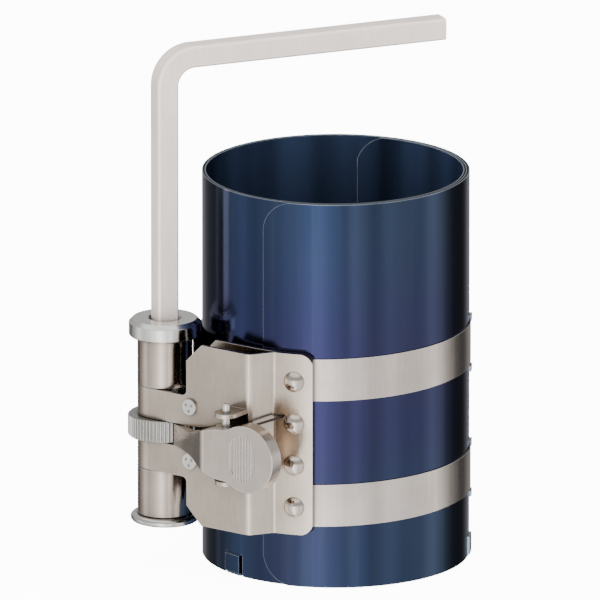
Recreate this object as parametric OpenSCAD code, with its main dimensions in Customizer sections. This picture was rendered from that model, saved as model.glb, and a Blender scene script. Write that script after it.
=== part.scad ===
// Ratchet band piston ring compressor: a coil of spring sheet that two bands draw closed.
// Z runs up the coil axis from its lower rim, and the front plate of the bracket faces -Y.
// Angles round the coil count from -Y towards +X.

/* [Coil] */
// Inner diameter of the coil as it is closed here
bore_d = 97; // [90:1:110]
// Height of the sheet
coil_h = 150; // [135:1:170]
// Thickness of the sheet
sheet_t = 0.5; // [0.4:0.05:0.6]
// Air between two turns
turn_gap = 0.5; // [0.4:0.05:0.6]
// Angle of the inner end of the sheet
inner_end = 206; // [204:1:212]
// Angle of the outer end of the sheet
outer_end = 4; // [3:1:8]
// Radius of the sheet's four corners
corner_r = 13; // [10:0.5:15]
// Width of the pressed stop tabs at the lower rim
tab_w = 8; // [7:0.5:10]
// Height of the pressed stop tabs
tab_h = 7; // [6:0.5:10]
// Rise of a pressed tab from the sheet
tab_rise = 0.9; // [0.6:0.1:1.2]

/* [Bands] */
// Width of each band
band_w = 16.4; // [15.6:0.2:17]
// Thickness of each band
band_t = 0.5; // [0.4:0.05:0.6]
// Height of the head's middle above the lower rim
head_z = 56.7; // [52:0.1:70]
// Distance of each band from the head's middle at the rivets
band_off = 24.6; // [24.3:0.1:25.4]
// Slope at which the bands climb from the spindle to the far side
band_tilt = 1.7; // [0:0.1:2]
// Outer radius of a band roll
roll_r = 10.45; // [9.5:0.05:10.6]
// Turns of band on each roll
roll_turns = 5; // [4:1:5]

/* [Bracket] */
// Thickness of the bracket sheet
plate_t = 1.5; // [1.3:0.1:1.6]
// Height of the bracket plates
plate_h = 70.8; // [69:0.2:76]
// Free left edge of the plates
plate_left = -24.2; // [-25:0.1:-23]
// Left corner chamfer of the plates
plate_cut = 7; // [5:0.5:8]
// Radius of the right corners of the flange
flange_corner = 5; // [3:0.5:6]
// Angle where the rivet flange starts
flange_from = 12; // [11.5:0.5:13]
// Angle where the rivet flange ends
flange_to = 27; // [26.5:0.5:29]
// Slope of the step between front plate and flange
step_angle = 58; // [55:1:62]
// Inner radius of the sheet bends
bend_r = 2; // [1.6:0.1:2.2]
// Height of each strap round the spindle
strap_h = 11.6; // [10.6:0.1:11.7]
// Right end of the slot between the straps
slot_end = -19; // [-20:0.5:-18]
// Half width of the two pivot lugs
lug_r = 4.5; // [4:0.1:4.6]
// Height of each window that a lug leaves
window_h = 9.5; // [8:0.5:10]

/* [Spindle] */
// Drop of the ratchet wheel's middle below the head's middle
wheel_drop = 1.4; // [0.8:0.1:1.8]
// Distance of the spindle left of the coil axis
spindle_x = -41.8; // [-43:0.1:-41.5]
// Radius of the spindle where the straps hold it
journal_r = 8.85; // [8.5:0.05:8.9]
// Radius of the spindle under the band rolls
core_r = 7.5; // [7.3:0.1:7.6]
// Radius of the top flange
flange_r = 13.7; // [12.5:0.1:13.9]
// Thickness of the top flange
flange_h = 6.8; // [5:0.1:7]
// Radius of the bottom washer
washer_r = 13.1; // [12:0.1:13.5]
// Thickness of the bottom washer
washer_h = 3.2; // [2.5:0.1:4]
// Tip radius of the ratchet wheel
wheel_r = 14.1; // [13.8:0.1:14.3]
// Thickness of the ratchet wheel
wheel_h = 8.4; // [7.8:0.1:8.6]
// Teeth of the ratchet wheel
teeth = 60; // [48:6:72]
// Depth of a ratchet tooth
tooth_h = 0.55; // [0.4:0.05:0.7]

/* [Pawl] */
// Distance of the pivot pin in front of the front plate
pin_reach = 7.6; // [7.4:0.1:8]
// Radius of the pivot pin
pin_r = 1.55; // [1.4:0.05:1.6]
// Thickness of the pawl sheet
lever_t = 1.5; // [1.3:0.1:1.5]
// Distance of the thumb pad's face in front of the front plate
pad_reach = 13.1; // [13:0.1:13.6]
// Radius of the thumb pad
pad_r = 13; // [12.5:0.1:13.2]
// Half height of the pawl at its pivot
neck = 10; // [9.5:0.1:10.2]
// Half height of the nose
nose = 4.1; // [3.6:0.05:4.1]
// Slope of the nose arm
nose_angle = 30; // [29:0.5:31]
// Radius of the bend between nose arm and pad, and depth of the rim
crown_r = 6; // [5.5:0.1:6]
// Radius of the spring wire
wire_r = 0.45; // [0.4:0.05:0.5]

/* [Key] */
// Side of the square key bar
key_w = 8.4; // [7.5:0.1:8.5]
// Corner chamfer of the key bar
key_cut = 0.7; // [0.4:0.1:1]
// Rise of the key's arm above the top flange
key_rise = 101.6; // [80:0.2:130]
// Length of the key's arm from the spindle axis
key_arm = 114; // [90:1:140]
// Centre radius of the key's bend
key_bend = 11; // [9:0.5:14]
// Depth of the key in its socket
key_depth = 29; // [20:1:34]
// Direction of the key's arm, from +X towards +Y
key_turn = 59; // [0:1:90]

/* [Fits] */
// Clearance between sheets that lie on each other
lay = 0.05; // [0.03:0.01:0.08]
// Clearance of a turning journal or pin
run = 0.05; // [0.03:0.01:0.08]
// End clearance between pieces on the spindle
side = 0.2; // [0.15:0.05:0.25]
// Clearance of the key in its socket
key_play = 0.2; // [0.15:0.05:0.3]
// Gap between the nose and the tooth tips
nose_gap = 0.3; // [0.2:0.05:0.4]

/* [Hidden] */
$fn = 96;
// Overlap of a straight piece of sheet with its bend
join = 0.3;
bore_r = bore_d / 2;
half_step = (sheet_t + turn_gap) / 2;
// Two centres share the half turns, so that every half turn is a true arc
coil_c = [0, 0];
shift_c = half_step * [sin(inner_end), -cos(inner_end)];
coil_sweep = inner_end - outer_end + 720;
// Inner faces of the outermost half turns
side_r = bore_r + 4 * half_step;
end_r = bore_r + 5 * half_step;
band_in = end_r + sheet_t + lay;
flange_in = band_in + band_t + lay;
flange_mid = flange_in + plate_t;
flange_out = flange_mid + plate_t;
loop_in = journal_r + run;
loop_mid = loop_in + plate_t / 2;
loop_out = loop_in + plate_t;
// Rear faces of the two plates
back_y = shift_c[1] - flange_in;
spindle_y = back_y - 0.3;
spindle_c = [spindle_x, spindle_y];
front_y = spindle_y - loop_out;
// Heights of the pieces on the spindle
strap_in = wheel_h / 2 + side;
strap_out = strap_in + strap_h;
wheel_z = head_z - wheel_drop;
// The rolls are a little taller than the bands, which come in at a slope
roll_w = band_w + 2;
upper_roll_z = wheel_z + strap_out + side;
lower_roll_z = wheel_z - strap_out - side - roll_w;
flange_z = upper_roll_z + roll_w + side;
key_seat = flange_z + flange_h - key_depth;
shoulder_z = lower_roll_z - side;
washer_z = shoulder_z - washer_h;
stub_r = core_r - 2.5;
socket_w = key_w + 2 * key_play;
// Band path from the coil to the roll
path_r = side_r + sheet_t + lay + band_t / 2;
roll_path = roll_r + 2 * lay + band_t / 2;
reach = spindle_c - coil_c;
leave = 360 + atan2(reach[0], -reach[1]) - acos((path_r + roll_path) / norm(reach));
run_out = sqrt(norm(reach) * norm(reach) - pow(path_r + roll_path, 2));
band_from = flange_from + 1.5;
// Return of each strap from the loop to the back plate
loop_end = 40;
turn_r = bend_r + plate_t / 2;
loop_p = spindle_c + loop_mid * [cos(loop_end), sin(loop_end)];
fall = loop_p[1] - (back_y - plate_t / 2) - turn_r * (1 - sin(loop_end));
strap_run = fall / cos(loop_end);
turn_p = loop_p + strap_run * [sin(loop_end), -cos(loop_end)];
turn_c = turn_p + turn_r * [cos(loop_end), sin(loop_end)];
back_run = shift_c[0] - turn_c[0] + join;
// Step between front plate and flange
step_out = bend_r + plate_t;
step_c = shift_c + (flange_out + bend_r) * [sin(flange_from), -cos(flange_from)];
step_n = [sin(step_angle), -cos(step_angle)];
step_d = [cos(step_angle), sin(step_angle)];
step_y = front_y + step_out;
step_x = (step_c * step_n - step_out - bend_r + step_y * cos(step_angle)) / sin(step_angle);
// Direction in which the bands climb, and place and height of the tabs that guide them
climb_to = 36;
guide_at = 122;
guide_h = 2.2;
// Rivets
rivet_r = 2;
rivet_head = 4;
rivet_dome = 2.4;
rivet_at = (flange_from + flange_to) / 2;
rivet_off = band_off / 3;
stay_x = plate_left + 1.9;
stay_off = 10.65;
stay_head = 3.1;
// Pawl
pin_y = front_y - pin_reach;
lug_off = neck + 3.2;
pad_y = front_y - pad_reach;
pad_x = 12.5;
crown_x = -6;
crown_c = [crown_x, pad_y + crown_r];
arm_d = [-cos(nose_angle), sin(nose_angle)];
arm_n = [sin(nose_angle), cos(nose_angle)];
arm_p = crown_c - crown_r * arm_n;
to_axis = spindle_c - arm_p - lever_t / 2 * arm_n;
across = to_axis * arm_n;
arm_l = to_axis * arm_d - sqrt(pow(wheel_r + nose_gap, 2) - across * across);
blend_r = 8;
blend_x = pad_x - sqrt(pow(pad_r + blend_r, 2) - pow(neck + blend_r, 2));
spring_r = pin_r + 0.7 + wire_r;
eps = 0.01;

// A strip that follows the coil, from sweep a to sweep b counted outwards from the inner end
module lap(a, b, add, t, z, h) {
    rotate([0, 0, inner_end - 90])
        for (k = [floor(a / 180) : ceil(b / 180) - 1]) {
            from = max(a - 180 * k, 0);
            to = min(b - 180 * k, 180);
            translate([k % 2 == 0 ? 0 : half_step, 0, 0])
                rotate([0, 0, (k % 2 == 0 ? 0 : 180) - (to == 180 ? 180 : from)])
                    rotate_extrude(angle = to == 180 ? to - from : from - to)
                        translate([bore_r + k * half_step + add, z])
                            square([t, h]);
        }
}

// Sweep of an angle on the outermost turn
function outer_sweep(phi) = inner_end - phi + (phi < outer_end ? 360 : 720);

// Half turn that a sweep lies in
function turn_of(sweep) = floor(sweep / 180);

// Places children at an angle of the outermost turn, with the sheet's inner face at Y = 0
module on_outer_turn(phi) {
    k = turn_of(outer_sweep(phi));
    translate(k % 2 == 0 ? coil_c : shift_c)
        rotate([0, 0, phi])
            translate([0, -bore_r - k * half_step, 0])
                children();
}

// Places children on the rivet line, with the bracket's front face at Y = 0
module on_rivet_line(off) {
    translate([shift_c[0], shift_c[1], head_z + off])
        rotate([0, 0, rivet_at])
            translate([0, -flange_out, 0])
                rotate([90, 0, 0])
                    children();
}

// What a round corner leaves of a square one, with the corner at the origin
module corner_waste(r) {
    difference() {
        translate([-1, -1])
            square(r + 1);
        translate([r, r])
            circle(1.02 * r);
    }
}

// Rise of the bands' middle line at an angle of the coil, counted from the rivets
function band_climb(phi) = tan(band_tilt) * side_r * (sin(phi - climb_to) - sin(rivet_at - climb_to));

// Both end corners of the sheet, cut from y0 to y1 along the local Y axis
module end_corners(y0, y1) {
    translate([0, y1, 0])
        rotate([90, 0, 0])
            linear_extrude(y1 - y0) {
                corner_waste(corner_r);
                translate([0, coil_h])
                    mirror([0, 1])
                        corner_waste(corner_r);
            }
}

// Flat ring sector of less than half a turn
module sector(c, r0, r1, a0, a1) {
    mid = (a0 + a1) / 2;
    translate(c)
        intersection() {
            difference() {
                circle(r1);
                if (r0 > 0)
                    circle(r0);
            }
            polygon([[0, 0], 3 * r1 * [cos(a0), sin(a0)], 6 * r1 * [cos(mid), sin(mid)],
                3 * r1 * [cos(a1), sin(a1)]]);
        }
}

module stop_tab(phi) {
    half = asin(tab_w / 2 / side_r);
    lap(outer_sweep(phi + half), outer_sweep(phi - half), sheet_t - 0.1, tab_rise + 0.1, 1, tab_h);
}

module tab_slits(phi) {
    on_outer_turn(phi)
        for (x = [-1, 1])
            translate([x * (tab_w / 2 + 0.5) - 0.5, -3, -1])
                cube([1, 3 + turn_gap / 2, tab_h + 2.4]);
}

module guide_tab(phi, z) {
    lap(outer_sweep(phi + 3), outer_sweep(phi - 3), sheet_t - 0.1, tab_rise + 0.2, z, guide_h);
}

module coil_sleeve() {
    tabs = [-13.8, 120, 240];
    half = asin(corner_r / 2 / end_r);
    color([0.16, 0.24, 0.42])
        difference() {
            union() {
                lap(0, coil_sweep, 0, sheet_t, 0, coil_h);
                for (phi = tabs)
                    stop_tab(phi);
                for (s = [-1, 1], side_z = [band_w / 2 + 0.6, -band_w / 2 - 0.6 - guide_h])
                    guide_tab(guide_at, head_z + s * band_off + band_climb(guide_at) + side_z);
            }
            for (phi = tabs)
                tab_slits(phi);
            translate(shift_c)
                difference() {
                    rotate([0, 0, outer_end + half])
                        translate([-corner_r / 2, 0, 0])
                            end_corners(-end_r - 3, -end_r + 3);
                    translate([0, 0, -2])
                        cylinder(r = end_r - turn_gap / 2, h = coil_h + 4);
                }
            intersection() {
                rotate([0, 0, inner_end - half])
                    translate([corner_r / 2, 0, 0])
                        mirror([1, 0, 0])
                            end_corners(-bore_r - 3, -bore_r + 3);
                translate([0, 0, -2])
                    cylinder(r = bore_r + sheet_t + turn_gap / 2, h = coil_h + 4);
            }
            for (s = [-1, 1])
                on_rivet_line(s * rivet_off)
                    translate([0, 0, end_r - flange_out - turn_gap / 2])
                        cylinder(r = rivet_r + lay, h = 6);
        }
}

// One band: riveted start, lap on the coil and straight run to its roll, cut from an upright shell
module band(off) {
    shell_h = band_w + 12;
    color([0.72, 0.69, 0.66])
        difference() {
            intersection() {
                translate([0, 0, head_z + off - shell_h / 2])
                    rotate([0, 0, leave]) {
                        rotate([0, 0, -90])
                            rotate_extrude(angle = band_from - leave)
                                translate([path_r - band_t / 2, 0])
                                    square([band_t, shell_h]);
                        translate([0, -path_r - band_t / 2, 0])
                            cube([run_out, band_t, shell_h]);
                    }
                translate([0, 0, head_z + off])
                    rotate([0, 0, climb_to])
                        translate([side_r * sin(rivet_at - climb_to), 0, 0])
                            rotate([0, -band_tilt, 0])
                                translate([-2 * path_r, -2 * path_r, -band_w / 2])
                                    cube([4 * path_r, 4 * path_r, band_w]);
            }
            on_rivet_line(off)
                translate([0, 0, -8])
                    cylinder(r = rivet_r + lay, h = 10);
        }
}

module upper_band() {
    band(band_off);
}

module lower_band() {
    band(-band_off);
}

// Wound turns of one band, with the joints between the turns on both end faces
module band_roll(z) {
    pitch = (roll_r - core_r) / (roll_turns + 0.5);
    line = 0.12;
    depth = 0.5;
    color([0.7, 0.66, 0.63])
        translate([spindle_x, spindle_y, z])
            rotate_extrude()
                difference() {
                    translate([core_r + lay, 0])
                        square([roll_r - core_r - lay, roll_w]);
                    for (k = [1 : roll_turns], end = [-1, roll_w - depth])
                        translate([core_r + pitch * k, end])
                            square([line, depth + 1]);
                }
}

module upper_band_roll() {
    band_roll(upper_roll_z);
}

module lower_band_roll() {
    band_roll(lower_roll_z);
}

// The folded sheet seen from above
module bracket_plan() {
    translate([spindle_x - join, front_y])
        square([step_x - spindle_x + 2 * join, plate_t]);
    difference() {
        translate(spindle_c) {
            difference() {
                circle(loop_out);
                circle(loop_in);
            }
        }
        translate(spindle_c)
            polygon([[0, 0], [0, -20], [20, -20], 30 * [cos(loop_end), sin(loop_end)]]);
    }
    translate(loop_p)
        rotate(loop_end - 90)
            translate([-join, -plate_t / 2])
                square([strap_run + 2 * join, plate_t]);
    sector(turn_c - [0, 0.02], bend_r, bend_r + plate_t, loop_end + 180, 270);
    translate([shift_c[0], shift_c[1]])
        translate([-back_run, -flange_mid])
            square([back_run, plate_t]);
    sector(shift_c, flange_in, flange_mid, -90, flange_to - 90);
    sector([step_x, step_y], bend_r, step_out, -90, step_angle - 90);
    polygon([
        [step_x, step_y] + step_out * step_n - join * step_d,
        step_c - bend_r * step_n + join * step_d,
        step_c - step_out * step_n + join * step_d,
        [step_x, step_y] + bend_r * step_n - join * step_d
    ]);
    sector(step_c, bend_r, step_out, flange_from + 88, step_angle + 90);
    sector(shift_c, flange_mid - eps, flange_out, flange_from - 90, flange_to - 90);
}

// Inner corner fillet, with the corner at the origin
module root_fillet(r) {
    difference() {
        translate([-eps, -eps])
            square(r + eps);
        translate([r, r])
            circle(r);
    }
}

// The sheet's outline seen from the front, with the head's middle at height 0
module bracket_outline() {
    right = shift_c[0] + flange_out * sin(flange_to);
    root = 2;
    difference() {
        translate([plate_left, -plate_h / 2])
            square([right + 2 - plate_left, plate_h]);
        translate([plate_left - 30, -wheel_drop - strap_in])
            square([slot_end - plate_left + 30, 2 * strap_in]);
        for (s = [0, 1])
            mirror([0, s]) {
                polygon([
                    [plate_left - 1, plate_h / 2 + 1],
                    [plate_left - 1, plate_h / 2 - plate_cut - 1],
                    [plate_left + plate_cut + 1, plate_h / 2 + 1]
                ]);
                translate([right, plate_h / 2])
                    rotate(180)
                        corner_waste(flange_corner);
            }
    }
    for (s = [0, 1])
        translate([0, -wheel_drop])
            mirror([0, s]) {
                translate([spindle_x - loop_out - 1, strap_in])
                    square([plate_left - spindle_x + loop_out + 2, strap_h]);
                translate([plate_left, strap_out])
                    mirror([1, 0])
                        root_fillet(root);
            }
}

module lug_plan() {
    difference() {
        union() {
            translate([-lug_r, pin_y])
                square([2 * lug_r, front_y + plate_t - pin_y]);
            translate([0, pin_y])
                circle(lug_r);
        }
        translate([0, pin_y])
            circle(pin_r + run);
    }
}

module bracket() {
    depth = plate_h + 2 * lug_off;
    color([0.75, 0.72, 0.69]) {
        difference() {
            intersection() {
                linear_extrude(head_z + plate_h)
                    bracket_plan();
                translate([0, 0, head_z])
                    rotate([90, 0, 0])
                        linear_extrude(depth)
                            bracket_outline();
            }
            for (s = [-1, 1]) {
                translate([-lug_r, front_y - 1, head_z + s * (lug_off - (plate_t + window_h) / 2) - window_h / 2])
                    cube([2 * lug_r, plate_t + 2, window_h]);
                translate([stay_x, 0, head_z + s * stay_off])
                    rotate([90, 0, 0])
                        cylinder(r = 1.9 + lay, h = depth);
                on_rivet_line(s * band_off)
                    translate([0, 0, -5])
                        cylinder(r = rivet_r + lay, h = 8);
                on_rivet_line(s * rivet_off)
                    translate([0, 0, -5])
                        cylinder(r = rivet_r + lay, h = 8);
            }
        }
        for (s = [-1, 1])
            translate([0, 0, head_z + s * lug_off - plate_t / 2])
                linear_extrude(plate_t)
                    lug_plan();
    }
}

// Domed rivet head on the plane Z = 0
module dome_head() {
    cap_r = (rivet_head * rivet_head + rivet_dome * rivet_dome) / (2 * rivet_dome);
    rotate_extrude()
        intersection() {
            translate([0, rivet_dome - cap_r])
                circle(cap_r);
            square([rivet_head + 1, rivet_dome + 1]);
        }
}

// Rivet with a domed head, its shank reaching to a radius of the coil
module dome_rivet(shank_to) {
    dome_head();
    translate([0, 0, shank_to - flange_out])
        cylinder(r = rivet_r, h = flange_out - shank_to + eps);
}

module band_rivets() {
    color([0.82, 0.81, 0.8])
        for (s = [-1, 1])
            on_rivet_line(s * band_off)
                dome_rivet(band_in + 0.06);
}

module sleeve_rivets() {
    set_r = end_r - 0.1;
    set_h = turn_gap / 2 - 0.05;
    color([0.82, 0.81, 0.8])
        for (s = [-1, 1])
            on_rivet_line(s * rivet_off) {
                dome_rivet(set_r - eps);
                translate([0, 0, set_r - set_h - flange_out])
                    cylinder(r = 3, h = set_h);
            }
}

// Shouldered rivet that holds the front and back straps apart
module stay_rivet() {
    head_h = 1.2;
    gap = back_y - front_y - 2 * plate_t;
    difference() {
        union() {
            cylinder(r = stay_head, h = head_h);
            translate([0, 0, -plate_t - lay - eps])
                cylinder(r = 1.9, h = plate_t + lay + 2 * eps);
            translate([0, 0, -plate_t - gap + lay])
                cylinder(r = 2.6, h = gap - 2 * lay);
            translate([0, 0, -2 * plate_t - gap - eps])
                cylinder(r = 1.9, h = plate_t + lay + 2 * eps);
            translate([0, 0, -2 * plate_t - gap - head_h])
                cylinder(r = stay_head, h = head_h);
        }
        for (a = [30, 150, 270])
            rotate([0, 0, a])
                translate([1.5, 0, head_h - 0.4])
                    cylinder(r1 = 0.4, r2 = 0.6, h = 0.5);
    }
}

module stay_rivets() {
    color([0.8, 0.82, 0.8])
        for (s = [-1, 1])
            translate([stay_x, front_y, head_z + s * stay_off])
                rotate([90, 0, 0])
                    stay_rivet();
}

module spindle() {
    top = flange_z + flange_h;
    lip = 1.5;
    color([0.74, 0.75, 0.73])
        translate([spindle_x, spindle_y, 0])
            difference() {
                rotate_extrude()
                    polygon([
                        [0, washer_z - 0.9],
                        [stub_r - 0.8, washer_z - 0.9],
                        [stub_r, washer_z - 0.1],
                        [stub_r, shoulder_z],
                        [core_r, shoulder_z],
                        [core_r, wheel_z - strap_out],
                        [journal_r, wheel_z - strap_out],
                        [journal_r, wheel_z + strap_out],
                        [core_r, wheel_z + strap_out],
                        [core_r, flange_z],
                        [flange_r - 0.6, flange_z],
                        [flange_r, flange_z + 0.6],
                        [flange_r, top - lip],
                        [flange_r - lip, top],
                        [0, top]
                    ]);
                rotate([0, 0, key_turn]) {
                    translate([-socket_w / 2, -socket_w / 2, key_seat])
                        cube([socket_w, socket_w, key_depth + 1]);
                    rotate([0, 0, 45])
                        translate([0, 0, top - 1.2])
                            cylinder(r1 = socket_w * 0.6, r2 = socket_w * 0.6 + 1.3, h = 1.3);
                }
            }
}

// Saw teeth with the steep side facing the way that the bands would unwind
module wheel_outline() {
    pitch = 360 / teeth;
    polygon([
        for (i = [0 : teeth - 1])
            for (p = [[wheel_r, 0], [wheel_r - tooth_h, 0.2], [wheel_r - tooth_h, 0.45]])
                p[0] * [cos(pitch * (i + p[1])), sin(pitch * (i + p[1]))]
    ]);
}

module ratchet_wheel() {
    bevel = 0.6;
    low = wheel_z - wheel_h / 2;
    high = wheel_z + wheel_h / 2;
    color([0.78, 0.79, 0.76])
        translate([spindle_x, spindle_y, 0])
            intersection() {
                translate([0, 0, low])
                    linear_extrude(wheel_h)
                        wheel_outline();
                rotate_extrude()
                    polygon([
                        [journal_r + lay, low],
                        [wheel_r - bevel, low],
                        [wheel_r + 0.1, low + bevel],
                        [wheel_r + 0.1, high - bevel],
                        [wheel_r - bevel, high],
                        [journal_r + lay, high]
                    ]);
            }
}

module bottom_washer() {
    edge = washer_h / 2;
    color([0.76, 0.77, 0.75])
        translate([spindle_x, spindle_y, 0])
            rotate_extrude() {
                translate([stub_r + lay, washer_z])
                    square([washer_r - edge - stub_r - lay, washer_h]);
                translate([washer_r - edge, washer_z + edge])
                    circle(edge);
            }
}

// Pressed pawl seen from above: the space behind its face, moved back by an inset
module pawl_plan(inset, back) {
    tip = arm_p + arm_l * arm_d;
    translate([crown_x - join, pad_y + inset])
        square([pad_x + pad_r - crown_x + 1, crown_r - inset + back]);
    sector(crown_c, 0, crown_r - inset, 255 - nose_angle, 285);
    if (back > 0)
        polygon([
            crown_c,
            arm_p + inset * arm_n - join * arm_d,
            tip + inset * arm_n + 3 * arm_d,
            tip + back * arm_n,
            crown_c + [0, back]
        ]);
    else
        polygon([
            crown_c,
            arm_p - join * arm_d,
            tip - 1.4 * arm_d,
            tip + 0.45 * lever_t * arm_n,
            tip + 0.75 * lever_t * arm_n,
            tip + lever_t * arm_n - 0.8 * arm_d
        ]);
}

// The pawl's outline seen from the front, with the head's middle at height 0
module pawl_outline(inset) {
    tip_x = arm_p[0] + arm_l * arm_d[0];
    blend_c = [blend_x, neck + blend_r];
    meet = blend_c + (blend_r + inset) / (blend_r + pad_r) * ([pad_x, 0] - blend_c);
    upper = [
        [tip_x - 4, nose - inset],
        [-19, nose - inset],
        [-14.5, 0.75 * nose + 0.25 * neck - 0.5 - inset],
        [-10.6, 0.55 * nose + 0.45 * neck - inset],
        [-6.2, 0.25 * nose + 0.75 * neck - inset],
        [-1, neck - 0.2 - inset],
        [blend_x, neck - inset],
        meet,
        [pad_x, meet[1] - 1]
    ];
    lower = [for (i = [len(upper) - 1 : -1 : 0]) [upper[i][0], -upper[i][1]]];
    translate([pad_x, 0])
        circle(pad_r - inset);
    difference() {
        polygon(concat(upper, lower));
        for (s = [-1, 1])
            translate([blend_c[0], s * blend_c[1]])
                circle(blend_r + inset);
    }
}

// The pawl's outline as a bar along Y
module pawl_bar(inset) {
    translate([0, front_y + 20, wheel_z])
        rotate([90, 0, 0])
            linear_extrude(20 + pad_reach + 10)
                pawl_outline(inset);
}

// Oval thumb grip seen from the front
module grip_oval(w, h) {
    for (s = [-1, 1])
        translate([0, s * (h - w) / 2])
            circle(w / 2);
    translate([-w / 2, -(h - w) / 2])
        square([w, h - w]);
}

module pawl_lever() {
    low = wheel_z - pad_r - 1;
    grip_x = 11.5;
    color([0.76, 0.73, 0.7])
        difference() {
            union() {
                intersection() {
                    translate([0, 0, low])
                        linear_extrude(2 * pad_r + 2)
                            pawl_plan(0, 0);
                    pawl_bar(0);
                }
                translate([0, pin_y, wheel_z - neck])
                    cylinder(r = pin_r + 2.3, h = 2 * neck);
            }
            intersection() {
                translate([0, 0, low])
                    linear_extrude(2 * pad_r + 2)
                        pawl_plan(lever_t, 12);
                pawl_bar(lever_t * 0.8);
            }
            translate([0, pin_y, low])
                cylinder(r = pin_r + run, h = 2 * pad_r + 2);
            translate([grip_x, pad_y + 0.4, wheel_z])
                rotate([90, 0, 0])
                    linear_extrude(2)
                        difference() {
                            grip_oval(11.4, 17.6);
                            for (i = [-3 : 3])
                                translate([i * 1.3 - 0.35, -20])
                                    square([0.7, 40]);
                        }
        }
}

module pawl_pin() {
    low = head_z - lug_off - plate_t / 2;
    high = head_z + lug_off + plate_t / 2;
    color([0.82, 0.83, 0.83])
        translate([0, pin_y, 0])
            rotate_extrude()
                polygon([
                    [0, low - 0.9],
                    [pin_r + 0.6, low - 0.9],
                    [pin_r + 0.6, low],
                    [pin_r, low],
                    [pin_r, high + 3],
                    [pin_r - 0.4, high + 3.4],
                    [0, high + 3.4]
                ]);
}

// Straight piece of wire between two points
module wire(p, q) {
    d = q - p;
    translate(p)
        rotate([0, acos(d[2] / norm(d)), atan2(d[1], d[0])])
            cylinder(r = 0.9 * wire_r, h = norm(d), $fn = 32);
}

module pawl_spring() {
    rings = 7;
    low = head_z + 1.6;
    step = 1.6 * wire_r;
    rest_phi = flange_from + 3;
    rest_r = flange_out + wire_r + lay;
    far = [shift_c[0] + rest_r * sin(rest_phi), shift_c[1] - rest_r * cos(rest_phi), head_z + 10.9];
    web = pad_y + lever_t + wire_r + 0.3;
    color([0.35, 0.33, 0.31]) {
        translate([0, pin_y, low])
            rotate_extrude($fn = 48)
                for (i = [0 : rings - 1])
                    translate([spring_r, i * step])
                        circle(wire_r, $fn = 32);
        wire([0.71 * spring_r, pin_y - 0.71 * spring_r, low + (rings - 1) * step], far);
        wire([0, pin_y - spring_r, low], [9, web, low]);
    }
}

// Section of the key bar
module key_section() {
    a = key_w / 2;
    b = a - key_cut;
    polygon([[a, -b], [a, b], [b, a], [-b, a], [-a, b], [-a, -b], [-b, -a], [b, -a]]);
}

module square_key() {
    arm_z = flange_z + flange_h + key_rise;
    color([0.8, 0.77, 0.75])
        translate([spindle_x, spindle_y, 0])
            rotate([0, 0, key_turn]) {
                translate([0, 0, key_seat])
                    linear_extrude(arm_z - key_bend - key_seat)
                        key_section();
                translate([key_bend, 0, arm_z - key_bend])
                    rotate([90, 0, 0])
                        rotate([0, 0, 90])
                            rotate_extrude(angle = 90)
                                translate([key_bend, 0])
                                    key_section();
                translate([key_bend, 0, arm_z])
                    rotate([90, 0, 90])
                        linear_extrude(key_arm - key_bend)
                            key_section();
            }
}

coil_sleeve();
upper_band();
lower_band();
upper_band_roll();
lower_band_roll();
bracket();
band_rivets();
sleeve_rivets();
stay_rivets();
spindle();
ratchet_wheel();
bottom_washer();
pawl_lever();
pawl_pin();
pawl_spring();
square_key();
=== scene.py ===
"""Looks of the piston ring compressor: materials, spring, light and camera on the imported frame.

Lengths are in metres and angles in degrees, unless a line says otherwise.
"""

import math

import bmesh
import bpy
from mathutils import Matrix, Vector


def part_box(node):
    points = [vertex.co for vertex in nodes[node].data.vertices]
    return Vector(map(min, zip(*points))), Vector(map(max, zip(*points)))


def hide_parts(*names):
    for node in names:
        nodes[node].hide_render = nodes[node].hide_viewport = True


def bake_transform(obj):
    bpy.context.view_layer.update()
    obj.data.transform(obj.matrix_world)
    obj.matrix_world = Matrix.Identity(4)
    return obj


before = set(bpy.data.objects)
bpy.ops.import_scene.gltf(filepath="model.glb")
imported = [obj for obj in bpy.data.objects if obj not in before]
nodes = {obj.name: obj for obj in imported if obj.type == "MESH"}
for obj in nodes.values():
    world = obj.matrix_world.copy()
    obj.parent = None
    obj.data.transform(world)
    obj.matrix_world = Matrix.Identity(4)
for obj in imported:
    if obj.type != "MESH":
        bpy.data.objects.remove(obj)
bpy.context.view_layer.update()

# Camera: near-orthographic product view, found from the rim ellipses of the photograph
AZIMUTH = 36.0
ELEVATION = 15.7
DISTANCE = 10.0
PICTURE_WIDTH = 600
PIXELS_PER_METRE = 2641.0
WIDTH_SEEN = PICTURE_WIDTH / PIXELS_PER_METRE
TARGET = Vector((-0.01072, -0.00779, 0.09868))
SENSOR_MM = 36.0
CLIP = (0.05, 60.0)

# Takes the height out of a place, which leaves its offset from the upright axis
LEVEL = (1, 1, 0)


def rgb(r, g, b):
    return (r, g, b, 1.0)


def grey(level):
    return rgb(level, level, level)


def shade(colour, share):
    return rgb(*[v * share for v in colour])


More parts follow.
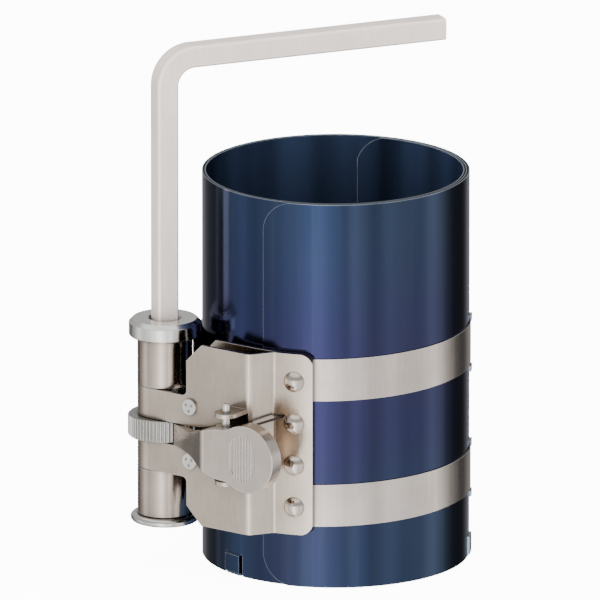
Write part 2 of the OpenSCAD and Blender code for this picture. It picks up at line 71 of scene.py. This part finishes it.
class Wiring:
    """Short helpers to wire the nodes of a material or of the world."""

    def __init__(self, tree):
        self.tree = tree

    def add(self, kind, **settings):
        node = self.tree.nodes.new(kind)
        for key, value in settings.items():
            setattr(node, key, value)
        return node

    def link(self, out, socket):
        self.tree.links.new(out, socket)

    def feed(self, socket, value):
        """Link an output to a socket, or set a constant on it."""
        if hasattr(value, "is_output"):
            self.link(value, socket)
        else:
            socket.default_value = value

    def span(self, value, lo, hi, out_lo, out_hi, curve="SMOOTHSTEP"):
        node = self.add("ShaderNodeMapRange", interpolation_type=curve)
        self.link(value, node.inputs["Value"])
        node.inputs["From Min"].default_value = lo
        node.inputs["From Max"].default_value = hi
        node.inputs["To Min"].default_value = out_lo
        node.inputs["To Max"].default_value = out_hi
        return node.outputs["Result"]

    def mix(self, fac, a, b, mode="MIX"):
        node = self.add("ShaderNodeMix", data_type="RGBA", blend_type=mode)
        self.feed(node.inputs["Factor"], fac)
        self.feed(node.inputs[6], a)
        self.feed(node.inputs[7], b)
        return node.outputs[2]

    def math(self, op, a, b=0.0):
        node = self.add("ShaderNodeMath", operation=op)
        self.feed(node.inputs[0], a)
        self.feed(node.inputs[1], b)
        return node.outputs["Value"]

    def vector(self, op, a, b=None):
        """Vector arithmetic; a dot product and a length give a single value."""
        node = self.add("ShaderNodeVectorMath", operation=op)
        self.feed(node.inputs[0], a)
        if b is not None:
            self.feed(node.inputs[1], b)
        return node.outputs["Value" if op in ("DOT_PRODUCT", "LENGTH") else "Vector"]


class Shader(Wiring):
    """One node material with a Principled BSDF."""

    def __init__(self, name, **values):
        self.mat = bpy.data.materials.new(name)
        self.mat.use_nodes = True
        super().__init__(self.mat.node_tree)
        self.bsdf = self.tree.nodes["Principled BSDF"]
        for key, value in values.items():
            self.bsdf.inputs[key.replace("_", " ")].default_value = value

    def drive(self, name, value):
        self.link(value, self.bsdf.inputs[name])

    def coords(self):
        return self.add("ShaderNodeTexCoord").outputs["Object"]

    def noise(self, scale, stretch=(1, 1, 1), detail=3.0, rough=0.55):
        mapping = self.add("ShaderNodeMapping")
        mapping.inputs["Scale"].default_value = stretch
        self.link(self.coords(), mapping.inputs["Vector"])
        node = self.add("ShaderNodeTexNoise")
        node.inputs["Scale"].default_value = scale
        node.inputs["Detail"].default_value = detail
        node.inputs["Roughness"].default_value = rough
        self.link(mapping.outputs["Vector"], node.inputs["Vector"])
        return node.outputs["Fac"]

    def veil(self, tone, value, lo, hi, share, colour):
        """Tone under a colour that comes in from nothing at lo to its share at hi."""
        return self.mix(self.span(value, lo, hi, 0.0, share), tone, rgb(*colour))

    def bump(self, height, strength, distance, under=None):
        node = self.add("ShaderNodeBump")
        node.inputs["Strength"].default_value = strength
        node.inputs["Distance"].default_value = distance
        self.link(height, node.inputs["Height"])
        if under:
            self.link(under, node.inputs["Normal"])
        return node.outputs["Normal"]

    def rounded(self, radius, samples=6):
        """Normal of edges with a small round."""
        bevel = self.add("ShaderNodeBevel", samples=samples)
        bevel.inputs["Radius"].default_value = radius
        return bevel.outputs["Normal"]

    def crevice_shade(self, reach, strength):
        """Mask of painted shade: by ambient occlusion, corners, seams and surfaces close under
        other parts, which little light gets into, come out darker.
        """
        hidden = self.add("ShaderNodeAmbientOcclusion", samples=8)
        hidden.inputs["Distance"].default_value = reach
        return self.span(hidden.outputs["AO"], 0.3, 0.95, strength, 0.0)

    def edges(self, radius):
        """Mask of outside edges, where a pale colour is painted as a highlight."""
        geometry = self.add("ShaderNodeNewGeometry")
        turned = self.vector("DOT_PRODUCT", self.rounded(radius, 4), geometry.outputs["Normal"])
        return self.span(turned, 0.86, 0.995, 1.0, 0.0)


# Radius at which the sheet's outermost lap begins, and the step in which its tone sets in
OUTER_LAP = 0.05115
LAP_STEP = 0.0001
# Heights between which the violet temper tint comes in, and those between which it fades
TINT_IN = (0.025, 0.065)
TINT_OUT = (0.09, 0.145)
# Colours of the blued sheet; the tint multiplies what lies under it
SHEET = {
    "deep": (0.0228, 0.039, 0.0878),
    "clouds": (0.0358, 0.0553, 0.111),
    "violet": (0.0403, 0.0403, 0.0943),
    "steel": (0.0488, 0.0683, 0.107),
    "outer_lap": (0.065, 0.0975, 0.153),
    "fine": (0.065, 0.091, 0.137),
    "scuffs": (0.13, 0.15, 0.182),
    "tint": (1.08, 0.76, 1.04),
    "inside_shade": (0.002, 0.003, 0.006),
    "inside_reflection": (0.03, 0.047, 0.095),
    "highlit_edge": (0.34, 0.39, 0.46),
    "bare_cut": (0.26, 0.3, 0.37),
}
SHEET_EDGE = 0.0005


def cut_edges(s):
    """Masks of the sheet's cut edges and of its inner side, distance from the axis, and height."""
    coords = s.coords()
    flat = s.vector("MULTIPLY", coords, LEVEL)
    geometry = s.add("ShaderNodeNewGeometry")
    facing = s.vector("DOT_PRODUCT", s.vector("NORMALIZE", flat), geometry.outputs["True Normal"])
    bare = s.span(s.math("ABSOLUTE", facing), 0.5, 0.9, 1.0, 0.0)
    inward = s.span(facing, -0.7, -0.3, 1.0, 0.0)
    split = s.add("ShaderNodeSeparateXYZ")
    s.link(coords, split.inputs["Vector"])
    return bare, inward, s.vector("LENGTH", flat), split.outputs["Z"]


def blued_steel():
    """Tempered blue sheet with rolling streaks, violet temper clouds, bare cut edges and painted
    edge highlights; its inner side is painted dark as shade, with painted reflection streaks.
    """
    s = Shader("blued_steel", Metallic=1.0, Roughness=0.2, Anisotropic=0.35)
    bare, inward, radius, height = cut_edges(s)
    clouds = s.noise(16.0, (1, 1, 0.3))
    tone = s.veil(rgb(*SHEET["deep"]), clouds, 0.35, 0.68, 1.0, SHEET["clouds"])
    violet = s.noise(11.0, (1, 1, 0.45), 2.0)
    tone = s.veil(tone, violet, 0.52, 0.72, 0.7, SHEET["violet"])
    steel = s.noise(30.0, (1, 1, 0.06))
    tone = s.veil(tone, steel, 0.5, 0.75, 0.6, SHEET["steel"])
    tone = s.veil(tone, radius, OUTER_LAP, OUTER_LAP + LAP_STEP, 0.25, SHEET["outer_lap"])
    fine = s.noise(220.0, (1, 1, 0.03), 4.0)
    tone = s.veil(tone, fine, 0.4, 0.75, 0.22, SHEET["fine"])
    scuffs = s.noise(500.0, (1, 1, 0.7), 2.0, 0.7)
    tone = s.veil(tone, scuffs, 0.7, 0.8, 0.3, SHEET["scuffs"])
    tint_in = s.span(height, *TINT_IN, 0.0, 0.85)
    heat = s.math("MULTIPLY", tint_in, s.span(height, *TINT_OUT, 1.0, 0.1))
    tone = s.mix(heat, tone, s.mix(1.0, tone, rgb(*SHEET["tint"]), "MULTIPLY"))
    streaks = s.noise(26.0, (1, 1, 0.02))
    # Painted shade and reflection: the inner side turns near black for shade, with paler vertical
    # streaks that paint reflections
    inside = s.veil(rgb(*SHEET["inside_shade"]), streaks, 0.35, 0.7, 1.0, SHEET["inside_reflection"])
    tone = s.mix(inward, tone, inside)
    # Painted highlight: a pale line along the sheet's edges
    tone = s.mix(s.edges(SHEET_EDGE), tone, rgb(*SHEET["highlit_edge"]))
    s.drive("Base Color", s.mix(bare, tone, rgb(*SHEET["bare_cut"])))
    # The inside is half dull, so that the lamps reach it
    s.drive("Metallic", s.span(inward, 0.0, 1.0, 1.0, 0.5))
    s.drive("Roughness", s.span(s.noise(70.0, (1, 1, 0.06), 4.0), 0.3, 0.7, 0.1, 0.19))
    s.drive("Normal", s.bump(s.noise(260.0, (1, 1, 0.015)), 0.05, 0.0004))
    return s.mat


# Depth of the ratchet wheel's teeth, and how dark the painted shade between them is
TOOTH_DEPTH = 0.00055
GAP_SHADE_STRENGTH = 0.65


def tooth_gap_shade(s):
    """Mask of painted shade between the ratchet teeth, by the distance from the wheel's axis."""
    corners = [Vector(corner) for corner in nodes["ratchet_wheel"].bound_box]
    middle = sum(corners, Vector()) / len(corners)
    tip = max(corner.x for corner in corners) - middle.x
    flat = s.vector("MULTIPLY", s.vector("SUBTRACT", s.coords(), middle), LEVEL)
    length = s.vector("LENGTH", flat)
    return s.span(length, tip - TOOTH_DEPTH, tip - 0.15 * TOOTH_DEPTH, GAP_SHADE_STRENGTH, 0.0)


# Pale colour painted along outside edges as a highlight
EDGE_HIGHLIGHT = (0.98, 0.92, 0.89)
SPOT_COLOUR = (0.42, 0.38, 0.35)
SPOT_SHARE = 0.3
EDGE_ROUND = 0.0004


def plate_steel(name, dark, light, grain, rough, edge=EDGE_HIGHLIGHT, metal=1.0, painted_shade=0.75,
                reach=0.01, dents=0.0, gap_shade=None, highlight_width=0.0006):
    """Plated or bright steel with directional grain, soft clouds, a painted highlight along its
    edges, and painted shade in seams, corners and under nearby parts.
    """
    s = Shader(name, Metallic=metal, Roughness=rough, Anisotropic=0.3)
    tone = s.veil(rgb(*dark), s.noise(38.0, detail=4.0), 0.3, 0.7, 1.0, light)
    lines = s.noise(620.0, grain)
    tone = s.mix(s.span(lines, 0.35, 0.75, 0.0, 0.14), tone, shade(dark, 0.62))
    spots = s.noise(1100.0, detail=2.0, rough=0.7)
    tone = s.veil(tone, spots, 0.7, 0.8, SPOT_SHARE, SPOT_COLOUR)
    # Painted highlight: a pale line along the outside edges
    tone = s.mix(s.edges(highlight_width), tone, rgb(*edge))
    # Painted shade between the ratchet teeth
    if gap_shade:
        tone = s.mix(gap_shade(s), tone, shade(dark, 0.3))
    # Painted shade: corners, seams and places close under other parts darken towards a dim copy of
    # the dark tone
    s.drive("Base Color", s.mix(s.crevice_shade(reach, painted_shade), tone, shade(dark, 0.22)))
    patches = s.noise(90.0, grain, 4.0)
    s.drive("Roughness", s.span(patches, 0.3, 0.7, rough - 0.05, rough + 0.06))
    smooth = s.rounded(EDGE_ROUND)
    if dents:
        smooth = s.bump(s.noise(1300.0, detail=2.0), dents, 0.0005, smooth)
    s.drive("Normal", s.bump(lines, 0.08, 0.0003, smooth))
    return s.mat


# Darker and lighter tone, stretch of the grain, roughness, and what departs from the usual plate
FINISHES = {
    "band_steel": ((0.68, 0.6, 0.54), (0.83, 0.745, 0.68), (1, 1, 0.05), 0.25, {}),
    "roll_steel": ((0.5, 0.41, 0.35), (0.68, 0.58, 0.51), (1, 1, 0.05), 0.14, {"reach": 0.005}),
    # The bracket's long occlusion reach paints a wide soft shadow round the thumb pad
    "nickel_steel": ((0.66, 0.56, 0.465), (0.79, 0.685, 0.58), (1, 1, 0.3), 0.22,
                     {"reach": 0.019}),
    # The lever's wide pale edge paints a highlight along the pad's rim
    "lever_steel": ((0.77, 0.67, 0.58), (0.87, 0.77, 0.68), (1, 1, 0.3), 0.2,
                    {"painted_shade": 0.5, "reach": 0.004, "highlight_width": 0.001}),
    "zinc_steel": ((0.76, 0.75, 0.72), (0.94, 0.93, 0.9), (1, 1, 6), 0.15,
                   {"painted_shade": 0.95, "reach": 0.0025}),
    "wheel_steel": ((0.76, 0.75, 0.7), (0.94, 0.93, 0.88), (1, 1, 1), 0.16,
                    {"painted_shade": 0.9, "reach": 0.003, "gap_shade": tooth_gap_shade}),
    "punched_rivet": ((0.86, 0.86, 0.84), (0.98, 0.98, 0.96), (1, 1, 1), 0.12,
                      {"painted_shade": 0.95, "reach": 0.002, "dents": 0.55}),
    "polished_rivet": ((0.74, 0.65, 0.57), (0.88, 0.79, 0.71), (1, 1, 1), 0.13, {"reach": 0.004}),
    "spring_wire": ((0.06, 0.05, 0.045), (0.11, 0.09, 0.08), (1, 1, 1), 0.28,
                    {"edge": (0.1, 0.085, 0.075), "reach": 0.002}),
    # The key's near-white edge paints a highlight along its edges
    "key_steel": ((0.9, 0.77, 0.7), (0.97, 0.85, 0.78), (1, 1, 0.2), 0.4,
                  {"edge": (1.0, 0.97, 0.94), "metal": 0.5, "highlight_width": 0.0011}),
}
materials = {"blued_steel": blued_steel()}
for finish, (dark, light, grain, rough, more) in FINISHES.items():
    materials[finish] = plate_steel(finish, dark, light, grain, rough, **more)

LOOKS = {
    "coil_sleeve": "blued_steel",
    "upper_band": "band_steel",
    "lower_band": "band_steel",
    "upper_band_roll": "roll_steel",
    "lower_band_roll": "roll_steel",
    "bracket": "nickel_steel",
    "band_rivets": "polished_rivet",
    "sleeve_rivets": "polished_rivet",
    "stay_rivets": "punched_rivet",
    "spindle": "zinc_steel",
    "ratchet_wheel": "wheel_steel",
    "bottom_washer": "zinc_steel",
    "pawl_lever": "lever_steel",
    "pawl_pin": "zinc_steel",
    "square_key": "key_steel",
}
for name, look in LOOKS.items():
    piece = nodes[name]
    piece.data.materials.clear()
    piece.data.materials.append(materials[look])


def tube(name, path, radius, sides):
    """A round wire swept along a list of points, with a cap at each end."""
    mesh = bpy.data.meshes.new(name)
    form = bmesh.new()
    rings = []
    across = Vector((0, 0, 1))
    turns = [2 * math.pi * k / sides for k in range(sides)]
    for i, point in enumerate(path):
        ahead = (path[min(i + 1, len(path) - 1)] - path[max(i - 1, 0)]).normalized()
        across = (across - ahead * across.dot(ahead)).normalized()
        beside = ahead.cross(across)
        ring = [point + radius * (math.cos(t) * across + math.sin(t) * beside) for t in turns]
        rings.append([form.verts.new(place) for place in ring])
    for near, far in zip(rings, rings[1:]):
        for k in range(sides):
            after = (k + 1) % sides
            form.faces.new((near[k], near[after], far[after], far[k])).smooth = True
    form.faces.new(rings[0])
    form.faces.new(rings[-1])
    bmesh.ops.recalc_face_normals(form, faces=form.faces)
    form.to_mesh(mesh)
    form.free()
    piece = bpy.data.objects.new(name, mesh)
    bpy.context.scene.collection.objects.link(piece)
    return piece


# Pawl spring: radius of its wire and of its winding, height of the winding, full turns that the
# two legs' own angles come on top of, and steps of the winding and of each leg
WIRE_R = 0.0005
WIRE_SIDES = 12
WINDING_R = 0.0027
WINDING_H = 0.0048
FULL_TURNS = 5
WINDING_STEPS = 230
LOWER_LEG_STEPS = 8
UPPER_LEG_STEPS = 12
# Height of the lowest wire's middle over the solid's foot, and the pawl leg's end from the pin
FOOT = 0.00045
PAWL_LEG = (0.009, -0.00325)
# Width of the strip at the solid's right-hand end that is taken as the tip of its leg
TIP = 0.0003


def make_spring():
    """The pawl's torsion spring: a wire wound round the pin, with its lower leg at the pawl and
    its upper leg at the flange.
    """
    pin_lo, pin_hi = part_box("pawl_pin")
    axis = Vector(((pin_lo[0] + pin_hi[0]) / 2, (pin_lo[1] + pin_hi[1]) / 2))
    points = [v.co for v in nodes["pawl_spring"].data.vertices]
    low = min(p.z for p in points) + FOOT
    high = low + WINDING_H
    right = max(p.x for p in points)
    tip = [p for p in points if p.x > right - TIP]
    flange_end = sum(tip, Vector()) / len(tip)
    pawl_end = Vector((axis.x + PAWL_LEG[0], axis.y + PAWL_LEG[1], low))

    def leaving(end, side):
        """Angle, in radians, at which a straight leg to end touches the winding."""
        off = end.xy - axis
        return math.atan2(off.y, off.x) + side * math.acos(WINDING_R / off.length)

    first = leaving(pawl_end, 1)
    last = leaving(flange_end, -1) + FULL_TURNS * 2 * math.pi
    wound = []
    for i in range(WINDING_STEPS + 1):
        turn = first + (last - first) * i / WINDING_STEPS
        x = axis.x + WINDING_R * math.cos(turn)
        y = axis.y + WINDING_R * math.sin(turn)
        wound.append(Vector((x, y, low + (high - low) * i / WINDING_STEPS)))
    lower_leg = [pawl_end.lerp(wound[0], i / LOWER_LEG_STEPS) for i in range(LOWER_LEG_STEPS)]
    upper_leg = [wound[-1].lerp(flange_end, i / UPPER_LEG_STEPS)
                 for i in range(1, UPPER_LEG_STEPS + 1)]
    piece = tube("torsion_spring", lower_leg + wound + upper_leg, WIRE_R, WIRE_SIDES)
    piece.data.materials.append(materials["spring_wire"])
    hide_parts("pawl_spring")
    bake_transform(piece)


# Glow of the floor and of the wall behind it, strong enough to come out white in the picture
FLOOR_GLOW = 11.0
WALL_GLOW = 15.0
FLOOR_SIZE = 40.0
FLOOR_DROP = 0.0002
WALL_RADIUS = 30.0


def make_floor():
    """A pale floor that the metal neither mirrors nor is lit by."""
    bpy.ops.mesh.primitive_plane_add(size=FLOOR_SIZE, location=(0, 0, -FLOOR_DROP))
    floor = bpy.context.object
    floor.name = "floor"
    s = Shader("floor", Roughness=0.8, Base_Color=grey(0.93), Specular_IOR_Level=0.1,
               Emission_Color=grey(1), Emission_Strength=FLOOR_GLOW)
    floor.data.materials.append(s.mat)
    floor.visible_glossy = False
    floor.visible_diffuse = False


def make_backdrop():
    """A far pale wall, seen by the camera alone."""
    bpy.ops.mesh.primitive_uv_sphere_add(radius=WALL_RADIUS, location=(0, 0, 0))
    wall = bpy.context.object
    wall.name = "backdrop"
    s = Shader("backdrop", Roughness=1.0, Base_Color=grey(0),
               Emission_Color=grey(1), Emission_Strength=WALL_GLOW)
    wall.data.materials.append(s.mat)
    for ray in ("diffuse", "glossy", "transmission", "shadow", "volume_scatter"):
        setattr(wall, "visible_" + ray, False)


# Brightness of the studio round the object, by degrees from the camera's azimuth
STUDIO = [(-178, 0.5), (-160, 0.35), (-142, 0.15), (-123, 0.45), (-115, 0.35), (-107, 0.65),
          (-97, 0.95), (-91, 1.2), (-72, 0.8), (-52, 1.05), (-34, 1.5), (-16, 2.6), (0, 1.7),
          (9, 1.1), (18, 1.7), (26, 1.1), (33, 0.75), (46, 1.25), (62, 0.95), (80, 0.95),
          (93, 1.45), (103, 0.9), (113, 0.3), (123, 0.08), (142, 0.05), (160, 0.35), (178, 0.5)]
# Brightness of the walls above eye level and of the lamp overhead, each with the sines of the
# elevations between which it comes in
WALL = 0.5
WALL_FROM = (0.02, 0.3)
OVERHEAD = 1.2
OVERHEAD_FROM = (0.62, 0.82)


def make_world():
    """A pale studio with dark sides, which the bright metal mirrors."""
    world = bpy.data.worlds.new("studio")
    bpy.context.scene.world = world
    world.use_nodes = True
    world.node_tree.nodes.clear()
    w = Wiring(world.node_tree)
    split = w.add("ShaderNodeSeparateXYZ")
    w.link(w.add("ShaderNodeTexCoord").outputs["Generated"], split.inputs["Vector"])
    ramp = w.add("ShaderNodeValToRGB")
    ramp.color_ramp.interpolation = "EASE"
    stops = ramp.color_ramp.elements
    camera_turn = AZIMUTH - 90.0
    placed = sorted((((camera_turn + turn_by + 180.0) % 360.0) / 360.0, level)
                    for turn_by, level in STUDIO)
    while len(stops) < len(placed):
        stops.new(0.5)
    for stop, (spot, level) in zip(stops, placed):
        stop.position = spot
        stop.color = grey(level)
    turn = w.math("ARCTAN2", split.outputs["Y"], split.outputs["X"])
    w.link(w.span(turn, -math.pi, math.pi, 0.0, 1.0, "LINEAR"), ramp.inputs["Fac"])
    up = split.outputs["Z"]
    light = w.mix(w.span(up, *WALL_FROM, 0.0, 1.0), ramp.outputs["Color"], grey(WALL))
    light = w.mix(w.span(up, *OVERHEAD_FROM, 0.0, 1.0), light, grey(OVERHEAD))
    back = w.add("ShaderNodeBackground")
    w.link(light, back.inputs["Color"])
    out = w.add("ShaderNodeOutputWorld")
    w.link(back.outputs["Background"], out.inputs["Surface"])


# Lamps: turn from the camera, height, distance, size, power in watts
LAMPS = {
    "top_box": (10.0, 1.6, 0.3, (1.6, 1.6), 22.0),
    "front_box": (-5.0, 0.5, 2.0, (1.4, 1.2), 70.0),
    "left_box": (-75.0, 0.7, 1.3, (0.5, 1.2), 22.0),
    "right_box": (70.0, 0.8, 1.4, (0.4, 1.2), 18.0),
}


def soft_light(name, turn, height, distance, size, power):
    """An area light that faces the object and that the metal doesn't mirror."""
    a = math.radians(AZIMUTH + turn)
    spot = Vector((math.sin(a) * distance, -math.cos(a) * distance, height))
    data = bpy.data.lights.new(name, "AREA")
    data.shape = "RECTANGLE"
    data.size, data.size_y = size
    data.energy = power
    lamp = bpy.data.objects.new(name, data)
    lamp.location = spot
    lamp.rotation_mode = "QUATERNION"
    lamp.rotation_quaternion = (TARGET - spot).to_track_quat("-Z", "Y")
    lamp.visible_glossy = False
    bpy.context.scene.collection.objects.link(lamp)


def make_camera():
    """A far camera with a long lens, which looks at the target."""
    data = bpy.data.cameras.new("photo_camera")
    data.sensor_width = SENSOR_MM
    data.lens = SENSOR_MM * DISTANCE / WIDTH_SEEN
    data.clip_start, data.clip_end = CLIP
    camera = bpy.data.objects.new("photo_camera", data)
    a, e = math.radians(AZIMUTH), math.radians(ELEVATION)
    back = Vector((math.sin(a) * math.cos(e), -math.cos(a) * math.cos(e), math.sin(e)))
    camera.location = TARGET + back * DISTANCE
    camera.rotation_mode = "QUATERNION"
    camera.rotation_quaternion = (-back).to_track_quat("-Z", "Y")
    bpy.context.scene.collection.objects.link(camera)
    bpy.context.scene.camera = camera


make_spring()
make_floor()
make_backdrop()
make_world()
for name, settings in LAMPS.items():
    soft_light(name, *settings)
make_camera()
